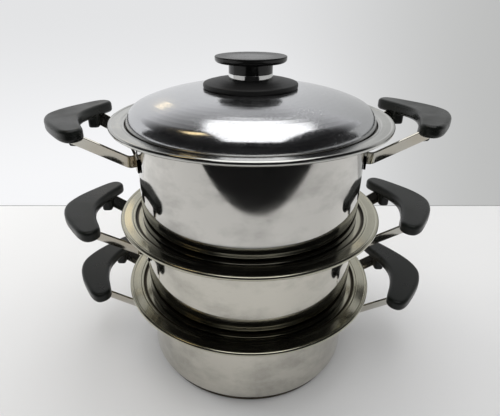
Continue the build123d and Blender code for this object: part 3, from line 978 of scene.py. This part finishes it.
def set_lamps(stage):
    """Soft lamp overhead, two side lamps that gloss doesn't show, and two small warm lamps."""
    top = stage.ceiling_height
    add_lamp("main lamp", (0.1, 0.14, top), (0.1, 0.14, 0), 1.25, 2.25, stage.lamp_power)
    for name, place, strength in (("left side lamp", (-1.3, 0.5, 0.75), 1.0),
                                  ("right side lamp", (1.4, 0.4, 0.8), 0.4)):
        side = add_lamp(name, place, (0, 0.2, 0), 0.8, 0.8, stage.side_power * strength)
        side.visible_glossy = False
    for name, place, wide, strength in (("left warm lamp", (-0.7, 0.06, 1.5), 0.3, 1.2),
                                        ("back warm lamp", (-0.56, 1.16, 0.80), 0.11, 0.8)):
        warm = add_lamp(name, place, (0, 0, 0.15), wide, wide, stage.warm_power * strength * wide ** 2)
        warm.data.color = stage.warm_lamp


def set_room(scene, stage):
    """Even light of the room, with a pale background that darkens to the right."""
    world = scene.world or bpy.data.worlds.new("room")
    scene.world = world
    room = Nodes(world)
    direction = room.add("TexCoord", {}, "Generated")
    higher = room.spread(room.part(direction, "Z"), -0.36, 0.0, form="SMOOTHSTEP")
    further_right = room.spread(room.part(direction, "X"), -0.05, 0.55, form="SMOOTHSTEP")
    left = room.blend(higher, stage.left_wall, stage.high_wall)
    shown = room.add("Background", {"Color": room.blend(further_right, left, stage.right_wall)})
    light = room.add("Background", {"Color": (1.0, 1.0, 1.0, 1.0), "Strength": stage.world_light})
    path = room.nodes.new("ShaderNodeLightPath")
    seen = path.outputs["Is Camera Ray"]
    for ray in ("Is Glossy Ray", "Is Transmission Ray"):
        seen = room.maths("MAXIMUM", seen, path.outputs[ray])
    choice = room.add("MixShader", {0: seen, 1: light, 2: shown})
    room.join(choice, room.nodes.new("ShaderNodeOutputWorld").inputs["Surface"])


def add_sheet(name, width, depth, place, turn, tone):
    """A large plain sheet that belongs to the stage."""
    bm = bmesh.new()
    bmesh.ops.create_grid(bm, x_segments=1, y_segments=1, size=0.5)
    bmesh.ops.scale(bm, vec=(width, depth, 1), verts=list(bm.verts))
    bmesh.ops.rotate(bm, cent=(0, 0, 0), matrix=turn, verts=list(bm.verts))
    bmesh.ops.translate(bm, vec=place, verts=list(bm.verts))
    mesh = bpy.data.meshes.new(name)
    bm.to_mesh(mesh)
    bm.free()
    obj = add_object(name, mesh)
    paint = Finish(name + " paint")
    patches = paint.noise(scale=3.0, detail=2.0)
    uneven = paint.blend(patches, shade(tone, 0.985), shade(tone, 1.015))
    mesh.materials.append(paint.set(Base_Color=uneven, Roughness=0.6))
    return obj


def fade_back(sheet, start, end, near, far):
    """Paint a sheet anew, so that it fades from one tone to another towards the back, as a glow of
    painted light.
    """
    paint = Finish(sheet.name + " paint")
    towards_back = paint.spread(paint.part(paint.place, "Y"), start, end)
    glow = paint.blend(towards_back, (0, 0, 0), far)
    paint.set(Base_Color=near, Roughness=0.6, Emission_Color=glow, Emission_Strength=1.0)


def add_lamp(name, place, target, width, depth, watts):
    """A soft rectangular lamp that faces a point."""
    light = bpy.data.lights.new(name, "AREA")
    light.shape = "RECTANGLE"
    light.size, light.size_y = width, depth
    light.energy = watts
    lamp = add_object(name, light)
    lamp.location = place
    lamp.rotation_euler = (Vector(target) - Vector(place)).to_track_quat("-Z", "Y").to_euler()
    return lamp


def set_camera(stage):
    """Camera at the photograph's viewing angle."""
    data = bpy.data.cameras.new("camera")
    data.lens = stage.focal_length
    data.sensor_width = 36.0
    data.sensor_fit = "HORIZONTAL"
    data.shift_x, data.shift_y = stage.camera_shift
    data.clip_start = 0.02
    camera = add_object("camera", data)
    camera.location = stage.camera_place
    heading, pitch = stage.heading, stage.pitch
    forward = Vector((-sin(heading) * cos(pitch), cos(heading) * cos(pitch), -sin(pitch)))
    camera.rotation_euler = forward.to_track_quat("-Z", "Y").to_euler()
    return camera


class CASSEROLES_PT_sidebar(bpy.types.Panel):
    """Lists the pieces of the stack and their sizes"""

    bl_label = "Stacked Casseroles"
    bl_idname = "CASSEROLES_PT_sidebar"
    bl_space_type = "VIEW_3D"
    bl_region_type = "UI"
    bl_category = "Casseroles"

    def draw(self, context):
        for operator in OPERATORS:
            self.layout.operator(operator.bl_idname)
        for name, group in GROUPS.items():
            box = self.layout.box()
            box.label(text=group.__doc__)
            for field in group.__annotations__:
                box.prop(getattr(context.scene, name), field)


OPERATORS = (CASSEROLES_OT_pot_shells, CASSEROLES_OT_base_caps, CASSEROLES_OT_handle_straps,
             CASSEROLES_OT_handle_grips, CASSEROLES_OT_lid, CASSEROLES_OT_knob, CASSEROLES_OT_stage)


def register():
    """Register the groups, the operators and the panel."""
    for name, group in GROUPS.items():
        bpy.utils.register_class(group)
        setattr(bpy.types.Scene, name, PointerProperty(type=group))
    for operator in OPERATORS:
        bpy.utils.register_class(operator)
    bpy.utils.register_class(CASSEROLES_PT_sidebar)


def unregister():
    """Take the panel, the operators and the groups away again."""
    bpy.utils.unregister_class(CASSEROLES_PT_sidebar)
    for operator in reversed(OPERATORS):
        bpy.utils.unregister_class(operator)
    for name, group in GROUPS.items():
        delattr(bpy.types.Scene, name)
        bpy.utils.unregister_class(group)


def main():
    """Make every piece and the stage."""
    register()
    bpy.ops.casseroles.pot_shells()
    bpy.ops.casseroles.base_caps()
    bpy.ops.casseroles.handle_straps()
    bpy.ops.casseroles.handle_grips()
    bpy.ops.casseroles.lid()
    bpy.ops.casseroles.knob()
    bpy.ops.casseroles.stage()


if __name__ == "__main__":
    main()
